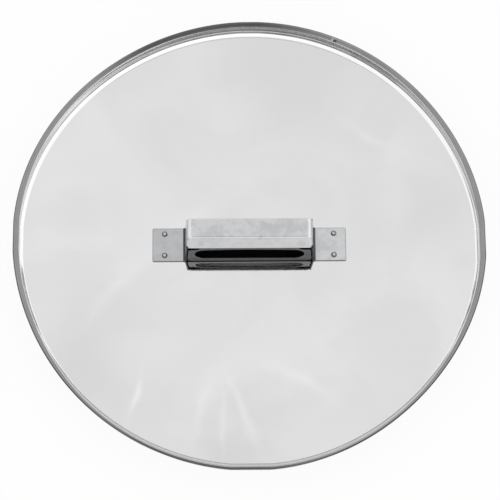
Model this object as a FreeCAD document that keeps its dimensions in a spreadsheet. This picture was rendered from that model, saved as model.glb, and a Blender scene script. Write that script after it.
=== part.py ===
import FreeCAD, Part
import math
import os

import Sketcher

# Floating lid for an open-top wine or oil tank: a shallow stainless dish that rides on the
# liquid, with a rolled rim and a boxed bridge handle riveted to the middle of its floor.
# X runs along the handle, +Y is the far side, +Z is up. The origin is the centre of the
# wetted face, so the whole lid stands on Z = 0.

DIMENSIONS = {
    # dish
    "rim_radius": 250.0,
    "rim_height": 24.0,
    "curl_radius": 3.2,
    "bead_overhang": 2.1,
    "wall_sheet": 0.8,
    "wall_slope": 0.02,
    "hoop_foot": 3.5,
    "curl_tuck": 88.0,
    "seam_angle": 69.3,
    "seam_gap": 0.9,
    "hoop_arcs": 6,
    "floor_sheet": 1.0,
    "flange_height": 13.2,
    "corner_bend": 3.4,
    "lap_gap": 0.1,
    # bridge of the handle
    "grip_sheet": 1.5,
    "grip_height": 55.0,
    "grip_top_length": 131.0,
    "grip_top_width": 21.2,
    "grip_skirt_width": 32.5,
    "grip_skirt_drop": 18.2,
    "grip_foot_length": 137.0,
    "grip_foot_width": 37.0,
    "grip_end_bend": 5.0,
    "grip_edge_bend": 2.0,
    "foot_bend": 3.0,
    "tab_span": 206.0,
    "tab_corner": 1.5,
    # slotted sides of the handle
    "side_sheet": 1.2,
    "side_foot_width": 36.8,
    "side_lean": 0.11,
    "side_lap": 7.0,
    "side_fit": 0.3,
    "slot_length": 115.6,
    "slot_height": 19.6,
    "slot_bottom": 8.0,
    "slot_arch": 1.6,
    "relief_length": 16.0,
    "relief_height": 31.0,
    # rivets
    "rivet_span": 180.0,
    "rivet_pitch": 24.0,
    "rivet_hole": 4.6,
    "rivet_shank": 4.0,
    "rivet_head": 5.8,
    "rivet_dome": 1.5,
    "rivet_tail": 5.6,
    "tail_depth": 0.8,
}

doc = FreeCAD.newDocument("floating_tank_lid")
dims = doc.addObject("Spreadsheet::Sheet", "dims")
for row, (alias, size) in enumerate(DIMENSIONS.items(), start=1):
    dims.set(f"A{row}", alias.replace("_", " "))
    dims.set(f"B{row}", str(size))
    dims.setAlias(f"B{row}", alias)
doc.recompute()


def bound(text):
    """An expression in which every dimension's plain name points at its cell."""
    for alias in sorted(DIMENSIONS, key=len, reverse=True):
        text = text.replace(alias, f"<{list(DIMENSIONS).index(alias)}>")
    for index, alias in enumerate(DIMENSIONS):
        text = text.replace(f"<{index}>", f"dims.{alias}")
    return text


def value(text):
    """The number that an expression of dimensions stands for."""
    result = dims.evalExpression(bound(text))
    return float(getattr(result, "Value", result))


def new_body(name):
    body = doc.addObject("PartDesign::Body", name)
    body.Label = name
    return body


def new_sketch(body, name, role, lift=None):
    """A sketch on one origin plane of its own body, lifted along that plane's normal."""
    plane = next(item for item in body.Origin.OriginFeatures if item.Role == role)
    sketch = body.newObject("Sketcher::SketchObject", name)
    sketch.AttachmentSupport = [(plane, "")]
    sketch.MapMode = "FlatFace"
    if lift:
        sketch.setExpression("AttachmentOffset.Base.z", bound(lift))
    return sketch


def pin(sketch, geometry, end, x, y):
    """Place one end of a line or arc by its two coordinates."""
    for kind, text, axis in (("DistanceX", x, -2), ("DistanceY", y, -1)):
        if text == "0":
            sketch.addConstraint(Sketcher.Constraint("PointOnObject", geometry, end, axis))
            continue
        index = sketch.addConstraint(
            Sketcher.Constraint(kind, -1, 1, geometry, end, value(text)))
        sketch.setExpression(f"Constraints[{index}]", bound(text))


def arc_between(start, end, radius, turn, large):
    """The arc of a given radius from start to end, turning left (+1) or right (-1)."""
    chord = end - start
    rise = math.sqrt(max(radius ** 2 - (chord.Length / 2) ** 2, 0.0))
    left = FreeCAD.Vector(-chord.y, chord.x, 0).normalize()
    side = -turn if large else turn
    centre = (start + end) * 0.5 + left * rise * side
    first = math.atan2(start.y - centre.y, start.x - centre.x)
    last = math.atan2(end.y - centre.y, end.x - centre.x)
    sweep = (last - first) % (2 * math.pi) if turn > 0 else -((first - last) % (2 * math.pi))
    middle = first + sweep / 2
    through = centre + FreeCAD.Vector(math.cos(middle), math.sin(middle), 0) * radius
    return Part.Arc(start, through, end)


def add_loop(sketch, corners):
    """Draw one closed loop. A corner is (x, y), or (x, y, radius, turn, large) where an
    arc leads from it to the next corner. Every coordinate is an expression."""
    points = [FreeCAD.Vector(value(c[0]), value(c[1]), 0) for c in corners]
    first = sketch.GeometryCount
    for index, corner in enumerate(corners):
        start, end = points[index], points[(index + 1) % len(points)]
        if len(corner) == 2:
            sketch.addGeometry(Part.LineSegment(start, end), False)
            continue
        radius, turn, large = corner[2:]
        arc = arc_between(start, end, value(radius), turn, large)
        sketch.addGeometry(arc, False)
    ends = []
    for index, corner in enumerate(corners):
        begins_at_one = (sketch.getPoint(first + index, 1) - points[index]).Length < 1e-6
        ends.append((1, 2) if begins_at_one else (2, 1))
    for index, corner in enumerate(corners):
        geometry, following = first + index, first + (index + 1) % len(corners)
        sketch.addConstraint(Sketcher.Constraint(
            "Coincident", geometry, ends[index][1], following, ends[following - first][0]))
        pin(sketch, geometry, ends[index][0], corner[0], corner[1])
    for index, corner in enumerate(corners):
        if len(corner) > 2:
            rule = sketch.addConstraint(
                Sketcher.Constraint("Radius", first + index, value(corner[2])))
            sketch.setExpression(f"Constraints[{rule}]", bound(corner[2]))


def revolve(body, name, sketch, sweep=None):
    feature = body.newObject("PartDesign::Revolution", name)
    feature.Profile = sketch
    feature.ReferenceAxis = (sketch, ["V_Axis"])
    feature.Angle = 360
    if sweep:
        feature.setExpression("Angle", bound(sweep))
    doc.recompute()
    return feature


def pad_both_ways(body, name, sketch, length):
    feature = body.newObject("PartDesign::Pad", name)
    feature.Profile = sketch
    feature.SideType = "Symmetric"
    feature.setExpression("Length", bound(length))
    doc.recompute()
    return feature


def cut_through(body, name, sketch):
    """Cut a sketch right through the body, both ways, and make sure that it bites."""
    before = body.Shape.Volume
    feature = body.newObject("PartDesign::Pocket", name)
    feature.Profile = sketch
    feature.SideType = "Symmetric"
    feature.Type = "ThroughAll"
    doc.recompute()
    if not feature.Shape.Volume < before - 0.5:
        raise RuntimeError(f"{name} cuts nothing")
    return feature


def round_edges(body, name, base, radius, chosen):
    """Fillet the edges of base whose middle point passes the test."""
    names = []
    for index, edge in enumerate(base.Shape.Edges, start=1):
        middle = edge.valueAt((edge.FirstParameter + edge.LastParameter) / 2)
        if chosen(middle, edge):
            names.append(f"Edge{index}")
    if not names:
        raise RuntimeError(f"{name} finds no edge")
    feature = body.newObject("PartDesign::Fillet", name)
    feature.Base = (base, names)
    feature.setExpression("Radius", bound(radius))
    doc.recompute()
    return feature


def near(number, target, slack=0.05):
    return abs(number - target) < slack


# The wall runs straight up to the underside of the bead, which is rolled over it and overhangs
# it on both sides.
WALL_X = "(rim_radius - 2 * curl_radius + bead_overhang)"
UNDER_BEAD = ("(rim_height - curl_radius"
              " - sqrt(curl_radius ^ 2 - (curl_radius - bead_overhang) ^ 2))")


def wall_radius(height, inset="0"):
    """Radius of the hoop's inner face at a height, less an inset."""
    return f"({WALL_X} - wall_slope * ({UNDER_BEAD} - ({height})) - ({inset}))"


# Floor: one pressed disc with a short upturned flange, its bend rounded inside and out.
floor = new_body("floor_disc")
section = new_sketch(floor, "floor_section", "XZ_Plane")
add_loop(section, [
    ("0", "0"),
    (wall_radius("0", "lap_gap"), "0"),
    (wall_radius("flange_height", "lap_gap"), "flange_height"),
    (wall_radius("flange_height", "lap_gap + floor_sheet"), "flange_height"),
    (wall_radius("floor_sheet", "lap_gap + floor_sheet"), "floor_sheet"),
    ("0", "floor_sheet"),
])
disc = revolve(floor, "floor_disc_form", section)
disc = round_edges(floor, "floor_inner_bend", disc, "corner_bend",
                   lambda p, e: near(p.z, value("floor_sheet")) and math.hypot(p.x, p.y) > 200)
disc = round_edges(floor, "floor_outer_bend", disc, "corner_bend + floor_sheet",
                   lambda p, e: near(p.z, 0) and math.hypot(p.x, p.y) > 200)


def rivet_places():
    for back in (-1, 1):
        for right in (-1, 1):
            yield right, back


def circle_at_rivets(sketch, diameter):
    for right, back in rivet_places():
        x, y = f"{right} * rivet_span / 2", f"{back} * rivet_pitch / 2"
        centre = FreeCAD.Vector(value(x), value(y), 0)
        ring = sketch.addGeometry(
            Part.Circle(centre, FreeCAD.Vector(0, 0, 1), value(diameter) / 2), False)
        pin(sketch, ring, 3, x, y)
        rule = sketch.addConstraint(
            Sketcher.Constraint("Diameter", ring, value(diameter)))
        sketch.setExpression(f"Constraints[{rule}]", bound(diameter))


def drill_rivet_holes(body, name, lift, upwards, countersunk):
    """Drill the four rivet holes, from below with a countersink or from above without."""
    before = body.Shape.Volume
    centres = new_sketch(body, f"{name}_centres", "XY_Plane", lift)
    circle_at_rivets(centres, "rivet_hole")
    doc.recompute()
    hole = body.newObject("PartDesign::Hole", name)
    hole.Profile = centres
    hole.Threaded = False
    hole.setExpression("Diameter", bound("rivet_hole"))
    hole.DepthType = "ThroughAll"
    hole.Reversed = upwards
    if countersunk:
        hole.HoleCutType = "Countersink"
        hole.HoleCutCustomValues = True
        hole.setExpression("HoleCutDiameter", bound("rivet_hole + 2 * tail_depth"))
        hole.HoleCutCountersinkAngle = 90
    doc.recompute()
    if not hole.Shape.Volume < before - 1:
        raise RuntimeError(f"{name} cuts nothing")
    return hole


drill_rivet_holes(floor, "floor_rivet_holes", None, True, True)

# Hoop: a strip rolled into a thin wall outside the floor's flange, with its top edge curled
# over the wall, outwards and under, into a hollow bead. The ring is six equal arcs. It stops
# short of a full turn, which leaves the butt seam where the strip's two ends meet; a weld
# closes the wall there.
hoop = new_body("wall_hoop")
curl_x, curl_z = "rim_radius - curl_radius", "rim_height - curl_radius"
inner_curl = "curl_radius - wall_sheet"
lower = wall_radius("hoop_foot")
lower_out = wall_radius("hoop_foot", "-1 * wall_sheet")
SEAM_TURN = "360 deg * seam_gap / (2 * pi * rim_radius)"
outer_start = (WALL_X, UNDER_BEAD)
inner_start = (f"({WALL_X} + wall_sheet)",
               "(rim_height - curl_radius - sqrt((curl_radius - wall_sheet) ^ 2"
               " - (curl_radius - bead_overhang - wall_sheet) ^ 2))")


def on_curl(radius, angle):
    return f"{curl_x} + ({radius}) * cos({angle})", f"{curl_z} + ({radius}) * sin({angle})"


outer_end = on_curl("curl_radius", "-1 * curl_tuck")
inner_end = on_curl(inner_curl, "-1 * curl_tuck")


def seam_sketch(name):
    """A sketch on the XZ plane, turned about Z to the place of the butt seam."""
    sketch = new_sketch(hoop, name, "XZ_Plane")
    sketch.AttachmentOffset = FreeCAD.Placement(
        FreeCAD.Vector(), FreeCAD.Rotation(FreeCAD.Vector(0, 1, 0), value("seam_angle")))
    sketch.setExpression("AttachmentOffset.Rotation.Angle", bound("seam_angle * 1 deg"))
    return sketch


strip = seam_sketch("strip_section")
add_loop(strip, [
    (lower, "hoop_foot"),
    (outer_start[0], outer_start[1], "curl_radius", -1, True),
    outer_end,
    (inner_end[0], inner_end[1], inner_curl, 1, True),
    inner_start,
    (lower_out, "hoop_foot"),
])
arc = revolve(hoop, "strip_arc", strip, f"(360 deg - {SEAM_TURN}) / hoop_arcs")
ring = hoop.newObject("PartDesign::PolarPattern", "strip_ring")
ring.Originals = [arc]
ring.Axis = (strip, ["V_Axis"])
ring.setExpression("Angle", bound(f"(360 deg - {SEAM_TURN}) * (hoop_arcs - 1) / hoop_arcs"))
ring.setExpression("Occurrences", bound("hoop_arcs"))
ring.Refine = False
hoop.Tip = ring
doc.recompute()
if not ring.Shape.Volume > 5.9 * arc.Shape.Volume:
    raise RuntimeError("strip_ring isn't whole")

weld = seam_sketch("weld_section")
add_loop(weld, [
    (lower, "hoop_foot"),
    outer_start,
    inner_start,
    (lower_out, "hoop_foot"),
])
closed = revolve(hoop, "wall_weld", weld, SEAM_TURN)
closed.Reversed = True
closed.Refine = False
doc.recompute()

# Bridge: a strip with a tab at each end, legs that lean in, and a top with skirts that splay.
# The top is a block with its ends and long edges bent round, hollowed from below by a smaller
# block, so that its skirts and ends are sheet. The legs and tabs are the strip's profile.
GRIP_TOP = "floor_sheet + grip_height"
SKIRT_EDGE = "(floor_sheet + grip_height - grip_skirt_drop)"
LEG_SLOPE = "(grip_foot_length - grip_top_length) / 2 / grip_height"
SKIRT_SLOPE = "(grip_skirt_width - grip_top_width) / 2 / grip_skirt_drop"


def leg_face(height, inset="0"):
    """X of the leg's outer face at a height, less an inset."""
    return f"(grip_foot_length / 2 - {LEG_SLOPE} * ({height} - floor_sheet) - ({inset}))"


def bent_block(body, name, half_section, low, top, inset, end_bend):
    """A block along X from half of its cross-section, its ends leaning in with the legs and
    bent round into the top."""
    section = new_sketch(body, f"{name}_section", "YZ_Plane")
    mirrored = [(f"-1 * ({y})", z) for y, z in reversed(half_section)]
    add_loop(section, half_section + mirrored)
    pad_both_ways(body, f"{name}_block", section, "grip_foot_length + 8")
    trim = new_sketch(body, f"{name}_end_bends", "XZ_Plane")
    tangent = f"({end_bend}) / tan(45 deg + atan({LEG_SLOPE}) / 2)"
    lean = f"atan({LEG_SLOPE})"
    for side, turn in (("", -1), ("-1 * ", 1)):
        add_loop(trim, [
            (f"{side}{leg_face(low, inset)}", low),
            (f"{side}({leg_face(low, inset)} + 8)", low),
            (f"{side}({leg_face(low, inset)} + 8)", f"{top} + 5"),
            (f"{side}({leg_face(top, inset)} - {tangent})", f"{top} + 5"),
            (f"{side}({leg_face(top, inset)} - {tangent})", top, end_bend, turn, False),
            (f"{side}({leg_face(top, inset)} + {tangent} * sin({lean}))",
             f"{top} - {tangent} * cos({lean})"),
        ])
    return cut_through(body, f"{name}_ends", trim)


bridge = new_body("grip_bridge")
block = bent_block(bridge, "bridge", [
    ("grip_skirt_width / 2", SKIRT_EDGE),
    ("grip_top_width / 2", GRIP_TOP),
], SKIRT_EDGE, GRIP_TOP, "0", "grip_end_bend")
block = round_edges(bridge, "bridge_long_bends", block, "grip_edge_bend",
                    lambda p, e: near(p.z, value(GRIP_TOP)) and near(p.x, 0) and e.Length > 50)

inside = new_body("bridge_inside")
SKIRT_THROUGH = f"grip_sheet * sqrt(1 + {SKIRT_SLOPE} * {SKIRT_SLOPE})"
INSIDE_TOP = f"({GRIP_TOP} - grip_sheet)"
bent_block(inside, "inside", [
    (f"grip_skirt_width / 2 + 2 * {SKIRT_SLOPE} - {SKIRT_THROUGH}", f"({SKIRT_EDGE} - 2)"),
    (f"grip_top_width / 2 + {SKIRT_SLOPE} * grip_sheet - {SKIRT_THROUGH}", INSIDE_TOP),
], f"({SKIRT_EDGE} - 2)", INSIDE_TOP, "grip_sheet", "grip_end_bend - grip_sheet")
before = bridge.Shape.Volume
hollow = bridge.newObject("PartDesign::Boolean", "bridge_hollow")
hollow.Type = "Cut"
hollow.setObjects([inside])
doc.recompute()
if not hollow.Shape.Volume < before / 3:
    raise RuntimeError("bridge_hollow cuts too little")

legs = new_sketch(bridge, "leg_and_tab", "XZ_Plane")
TAB_TOP = "(floor_sheet + grip_sheet)"
BEND_HEIGHT = f"({TAB_TOP} + foot_bend)"
lean = f"atan({LEG_SLOPE})"
reach = f"foot_bend / tan(45 deg + atan({LEG_SLOPE}) / 2)"
reach_under = f"(foot_bend + grip_sheet) / tan(45 deg + atan({LEG_SLOPE}) / 2)"
for side, turn in (("", 1), ("-1 * ", -1)):
    add_loop(legs, [
        (f"{side}{leg_face(SKIRT_EDGE)}", f"{SKIRT_EDGE} + 0.5"),
        (f"{side}({leg_face(TAB_TOP)} - {reach} * sin({lean}))",
         f"{TAB_TOP} + {reach} * cos({lean})", "foot_bend", turn, False),
        (f"{side}({leg_face(TAB_TOP)} + {reach})", TAB_TOP),
        (f"{side}tab_span / 2", TAB_TOP),
        (f"{side}tab_span / 2", "floor_sheet"),
        (f"{side}({leg_face('floor_sheet', 'grip_sheet')} + {reach_under})", "floor_sheet",
         "foot_bend + grip_sheet", -1 * turn, False),
        (f"{side}({leg_face('floor_sheet', 'grip_sheet')} - {reach_under} * sin({lean}))",
         f"floor_sheet + {reach_under} * cos({lean})"),
        (f"{side}{leg_face(SKIRT_EDGE, 'grip_sheet')}", f"{SKIRT_EDGE} + 0.5"),
    ])
pad_both_ways(bridge, "bridge_legs", legs, "grip_foot_width")
taper = new_sketch(bridge, "leg_taper", "YZ_Plane")
for side in ("", "-1 * "):
    add_loop(taper, [
        (f"{side}grip_foot_width / 2", BEND_HEIGHT),
        (f"{side}(grip_foot_width / 2 + 2)", BEND_HEIGHT),
        (f"{side}(grip_foot_width / 2 + 2)", f"{SKIRT_EDGE} + 2"),
        (f"{side}grip_skirt_width / 2", f"{SKIRT_EDGE} + 2"),
        (f"{side}grip_skirt_width / 2", SKIRT_EDGE),
    ])
feet = cut_through(bridge, "bridge_leg_taper", taper)
feet = round_edges(bridge, "tab_corners", feet, "tab_corner",
                   lambda p, e: near(abs(p.x), value("tab_span / 2")) and abs(p.y) > 18
                   and near(p.z, value("floor_sheet + grip_sheet / 2"), 0.2))
drill_rivet_holes(bridge, "tab_rivet_holes", "floor_sheet + grip_sheet", False, False)


# Sides: two leaning plates that stand on the floor, lap up inside the skirts and carry the
# finger slot. Their upper corners are cut back where the bridge bends round.
def make_side(name, facing):
    body = new_body(name)
    across = f"{facing} * "
    bend = f"({SKIRT_EDGE} + 0.3)"
    at_bend = f"side_foot_width / 2 - side_lean * ({bend} - floor_sheet)"
    at_lap = f"{at_bend} - {SKIRT_SLOPE} * side_lap"
    section = new_sketch(body, f"{name}_section", "YZ_Plane")
    add_loop(section, [
        (f"{across}(side_foot_width / 2)", "floor_sheet"),
        (f"{across}({at_bend})", bend),
        (f"{across}({at_lap})", f"{bend} + side_lap"),
        (f"{across}({at_lap} - side_sheet)", f"{bend} + side_lap"),
        (f"{across}({at_bend} - side_sheet)", bend),
        (f"{across}(side_foot_width / 2 - side_sheet)", "floor_sheet"),
    ])
    pad_both_ways(body, f"{name}_plate", section, "grip_foot_length")

    ends = new_sketch(body, f"{name}_ends", "XZ_Plane")
    shoulder = "(floor_sheet + relief_height)"
    notch = f"({leg_face(SKIRT_EDGE)} - relief_length)"
    clear = "grip_sheet + side_fit"
    for side in ("", "-1 * "):
        add_loop(ends, [
            (f"{side}({leg_face('floor_sheet', clear)} - foot_bend - grip_sheet)",
             "floor_sheet"),
            (f"{side}{leg_face(BEND_HEIGHT, clear)}", BEND_HEIGHT),
            (f"{side}{leg_face(shoulder, clear)}", shoulder),
            (f"{side}{notch}", f"{shoulder} + 2"),
            (f"{side}{notch}", GRIP_TOP),
            (f"{side}(grip_foot_length / 2 + 5)", GRIP_TOP),
            (f"{side}(grip_foot_length / 2 + 5)", "floor_sheet"),
        ])
    cut_through(body, f"{name}_trim", ends)

    slot = new_sketch(body, f"{name}_slot", "XZ_Plane")
    reach = "(slot_length / 2 - slot_height / 2)"
    low, high = "floor_sheet + slot_bottom", "floor_sheet + slot_bottom + slot_height"
    arch_radius = f"{reach} * {reach} / 2 / slot_arch + slot_arch / 2"
    add_loop(slot, [
        (f"-1 * {reach}", low),
        (reach, low, "slot_height / 2 + 0.01", 1, False),
        (reach, high, arch_radius, 1, False),
        (f"-1 * {reach}", high, "slot_height / 2 + 0.01", 1, False),
    ])
    cut_through(body, f"{name}_finger_slot", slot)
    return body


make_side("grip_side_front", -1)
make_side("grip_side_back", 1)


# Rivets: a low dome over the tab and a tail set flush in the floor's countersink.
def make_rivet(name, right, back):
    body = new_body(name)
    section = new_sketch(body, f"{name}_section", "XZ_Plane")
    seat = "floor_sheet + grip_sheet"
    dome = "(rivet_head * rivet_head / 4 + rivet_dome * rivet_dome) / 2 / rivet_dome"
    add_loop(section, [
        ("0", "0"),
        ("rivet_tail / 2", "0"),
        ("rivet_shank / 2", "tail_depth"),
        ("rivet_shank / 2", seat),
        ("rivet_head / 2", seat, dome, 1, False),
        ("0", f"{seat} + rivet_dome"),
    ])
    revolve(body, f"{name}_form", section)
    body.setExpression("Placement.Base.x", bound(f"{right} * rivet_span / 2"))
    body.setExpression("Placement.Base.y", bound(f"{back} * rivet_pitch / 2"))
    return body


for right, back in rivet_places():
    side = "right" if right > 0 else "left"
    depth = "back" if back > 0 else "front"
    make_rivet(f"rivet_{depth}_{side}", right, back)

doc.recompute()

for item in doc.Objects:
    if "Invalid" in item.State or "Error" in item.State:
        raise RuntimeError(f"{item.Label} failed: {item.State}")
bodies = [item for item in doc.Objects
          if item.TypeId == "PartDesign::Body" and item is not inside]
for body in bodies:
    if body.Shape.isNull() or not body.Shape.isValid() or len(body.Shape.Solids) != 1:
        raise RuntimeError(f"{body.Label} is not one valid solid")

os.makedirs("parts", exist_ok=True)
for body in bodies:
    body.Shape.exportStep(f"parts/{body.Label}.step")
    box = body.Shape.BoundBox
    print(f"{body.Label}: volume {body.Shape.Volume:.0f} mm3, "
          f"x {box.XMin:.1f}..{box.XMax:.1f} y {box.YMin:.1f}..{box.YMax:.1f} "
          f"z {box.ZMin:.2f}..{box.ZMax:.2f}")
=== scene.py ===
import math

import bmesh
import bpy
from mathutils import Matrix, Vector


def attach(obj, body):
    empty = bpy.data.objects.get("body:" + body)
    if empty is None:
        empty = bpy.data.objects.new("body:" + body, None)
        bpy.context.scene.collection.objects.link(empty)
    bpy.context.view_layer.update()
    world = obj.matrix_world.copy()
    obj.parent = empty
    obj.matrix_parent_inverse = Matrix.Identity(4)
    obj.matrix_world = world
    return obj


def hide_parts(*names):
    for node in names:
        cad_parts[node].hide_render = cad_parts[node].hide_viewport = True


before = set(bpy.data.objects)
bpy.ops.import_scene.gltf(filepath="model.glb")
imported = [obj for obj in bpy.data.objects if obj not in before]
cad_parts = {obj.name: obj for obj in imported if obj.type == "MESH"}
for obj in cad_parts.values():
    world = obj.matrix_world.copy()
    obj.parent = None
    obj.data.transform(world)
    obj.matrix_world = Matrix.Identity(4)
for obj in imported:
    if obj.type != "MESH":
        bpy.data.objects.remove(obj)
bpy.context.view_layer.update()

# Floating tank lid: a shallow stainless dish with a rolled rim and a boxed bridge handle
# riveted to the middle of its floor. Sizes are in millimetres and turned to metres last.
MM = 0.001

RIM_RADIUS, RIM_HEIGHT, CURL_RADIUS, WALL_SHEET = 250.0, 24.0, 3.2, 0.8
COVE_AT, COVE_RADIUS = 235.4, 50.0
BEAD_OVERHANG, WALL_SLOPE, HOOP_FOOT, CURL_TUCK = 2.1, 0.02, 3.5, 88.0
SEAM_ANGLE, SEAM_GAP = 68.0, 0.35
FLOOR_SHEET, FLANGE_HEIGHT, CORNER_BEND, LAP_GAP = 1.0, 13.2, 3.4, 0.1
GRIP_SHEET, GRIP_TOP, SKIRT_EDGE = 1.5, 56.0, 37.8
TOP_LENGTH, TOP_WIDTH, SKIRT_WIDTH = 131.0, 21.2, 32.5
FOOT_LENGTH, FOOT_WIDTH, FOOT_BEND = 137.0, 37.0, 3.0
TAB_SPAN, TAB_CORNER = 206.0, 1.5
END_BEND, LONG_BEND, CORNER_TURN, WIDEST_BEND = 6.5, 2.0, 4.4, 8.0
SIDE_SHEET, SIDE_FOOT, SIDE_LEAN, SIDE_LAP = 1.2, 36.8, 0.11, 7.0
SLOT_LENGTH, SLOT_HEIGHT, SLOT_BOTTOM, SLOT_ARCH = 115.6, 19.6, 9.0, 1.6
RIVET_SPAN, RIVET_PITCH = 180.0, 24.0
# millimetres the rim is out of round: evenly, then once, twice ... round the lid
OUT_OF_ROUND = (-0.36, (-0.14, 0.14), (-0.03, 0.11), (-0.02, 0.61), (0.92, -0.48),
                (0.28, 0.06), (0.09, -0.15))
# metres from the axis: true inside the first, bent over the second, fully out at the third
TRUE_INSIDE, BENT_OVER, FULLY_OUT = 0.15, 0.08, 0.23
RAIL_RADIUS, BEAD_INSET, BOX_MARGIN = 240.0, 0.05, 0.1
LEG_SLOPE = (FOOT_LENGTH - TOP_LENGTH) / 2 / (GRIP_TOP - FLOOR_SHEET)


# ---------------------------------------------------------------- mesh helpers
def rounded(corners, steps):
    """Points along a line of (x, y, radius) corners, each corner turned by its radius."""
    points = []
    last = len(corners) - 1
    for index, (x, y, radius) in enumerate(corners):
        here = Vector((x, y))
        if radius <= 0 or index in (0, last):
            points.append(here)
            continue
        back = (Vector(corners[index - 1][:2]) - here).normalized()
        ahead = (Vector(corners[index + 1][:2]) - here).normalized()
        opening = back.angle(ahead)
        run = radius / math.tan(opening / 2)
        centre = here + (back + ahead).normalized() * (radius / math.sin(opening / 2))
        first, final = here + back * run - centre, here + ahead * run - centre
        start = math.atan2(first.y, first.x)
        turn = math.atan2(first.x * final.y - first.y * final.x, first.dot(final))
        for step in range(steps + 1):
            angle = start + turn * step / steps
            points.append(centre + Vector((math.cos(angle), math.sin(angle))) * radius)
    return [tuple(point) for point in points]


def arc(centre, radius, start, sweep, steps):
    """Points along an arc, both its ends included."""
    turns = [start + sweep * k / steps for k in range(steps + 1)]
    return [(centre[0] + radius * math.cos(turn), centre[1] + radius * math.sin(turn))
            for turn in turns]


def placed_object(name, data):
    piece = bpy.data.objects.new(name, data)
    bpy.context.scene.collection.objects.link(piece)
    return piece


def pour(builder, mesh):
    """Put a bmesh into a mesh and let go of it."""
    builder.to_mesh(mesh)
    builder.free()
    return mesh


def object_of(name, builder):
    """A mesh object at the origin from a bmesh in millimetres."""
    bmesh.ops.remove_doubles(builder, verts=builder.verts, dist=1e-4)
    bmesh.ops.recalc_face_normals(builder, faces=builder.faces)
    bmesh.ops.scale(builder, vec=(MM, MM, MM), verts=builder.verts)
    return placed_object(name, pour(builder, bpy.data.meshes.new(name)))


def coat(piece, *finishes):
    piece.data.materials.clear()
    for finish in finishes:
        piece.data.materials.append(finish)


def final_mesh(piece):
    graph = bpy.context.evaluated_depsgraph_get()
    return bpy.data.meshes.new_from_object(piece.evaluated_get(graph))


def settle(piece):
    """Make the piece's modifiers final: a plain mesh with none left on it."""
    mesh, old = final_mesh(piece), piece.data
    piece.modifiers.clear()
    piece.data = mesh
    mesh.name = piece.name
    bpy.data.meshes.remove(old)
    return piece


def soften(piece, width, segments, angle):
    """Round the sheet's cut edges a little and keep its flat faces flat in the light."""
    piece.data.shade_smooth()
    edge = piece.modifiers.new("cut_edges", "BEVEL")
    edge.width = width * MM
    edge.segments = segments
    edge.limit_method = "ANGLE"
    edge.angle_limit = math.radians(angle)
    edge.use_clamp_overlap = True
    edge.harden_normals = False
    flat = piece.modifiers.new("flat_faces", "WEIGHTED_NORMAL")
    flat.keep_sharp = True
    flat.weight = 80
    return settle(piece)


def join_rings(builder, low, high):
    """Faces between two closed rings of points; either may be a single point."""
    for k in range(max(len(low), len(high))):
        ends = [ring[index % len(ring)] for ring, index in
                ((low, k), (low, k + 1), (high, k + 1), (high, k))]
        builder.faces.new(list(dict.fromkeys(ends)))


def lathe(name, profile, turns=360):
    """Turn a profile of (radius, height) about Z; it starts and ends on the axis."""
    builder = bmesh.new()
    rings = []
    for radius, height in profile:
        ring = arc((0, 0), radius, 0, 2 * math.pi, turns)[:-1] if radius > 1e-6 else [(0, 0)]
        rings.append([builder.verts.new((x, y, height)) for x, y in ring])
    for low, high in zip(rings, rings[1:]):
        join_rings(builder, low, high)
    return object_of(name, builder)


def cut_away(piece, tools):
    for index, tool in enumerate(tools):
        cut = piece.modifiers.new(f"cut_{index}", "BOOLEAN")
        cut.operation = "DIFFERENCE"
        cut.solver = "EXACT"
        cut.object = tool
    settle(piece)
    for tool in tools:
        bpy.data.objects.remove(tool)


def out_of_round(piece):
    """Move the rim in or out by OUT_OF_ROUND, but never past the solids' box."""
    for vert in piece.data.vertices:
        x, y, z = vert.co
        radius, angle = math.hypot(x, y), math.atan2(y, x)
        if radius < TRUE_INSIDE:
            continue
        shift = OUT_OF_ROUND[0] + sum(
            a * math.cos(k * angle) + b * math.sin(k * angle)
            for k, (a, b) in enumerate(OUT_OF_ROUND[1:], 1))
        square = max(abs(math.cos(angle)), abs(math.sin(angle)))
        shift = min(shift, BEAD_INSET / square + RIM_RADIUS * (1 / square - 1) - BOX_MARGIN)
        share = min((radius - TRUE_INSIDE) / BENT_OVER, 1.0) ** 2
        scale = 1 + shift * MM / (RIM_RADIUS * MM) * share
        vert.co = (x * scale, y * scale, z)


def finish_piece(piece, slot, *nodes):
    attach(piece, "root")
    if nodes:
        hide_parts(*nodes)


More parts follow.
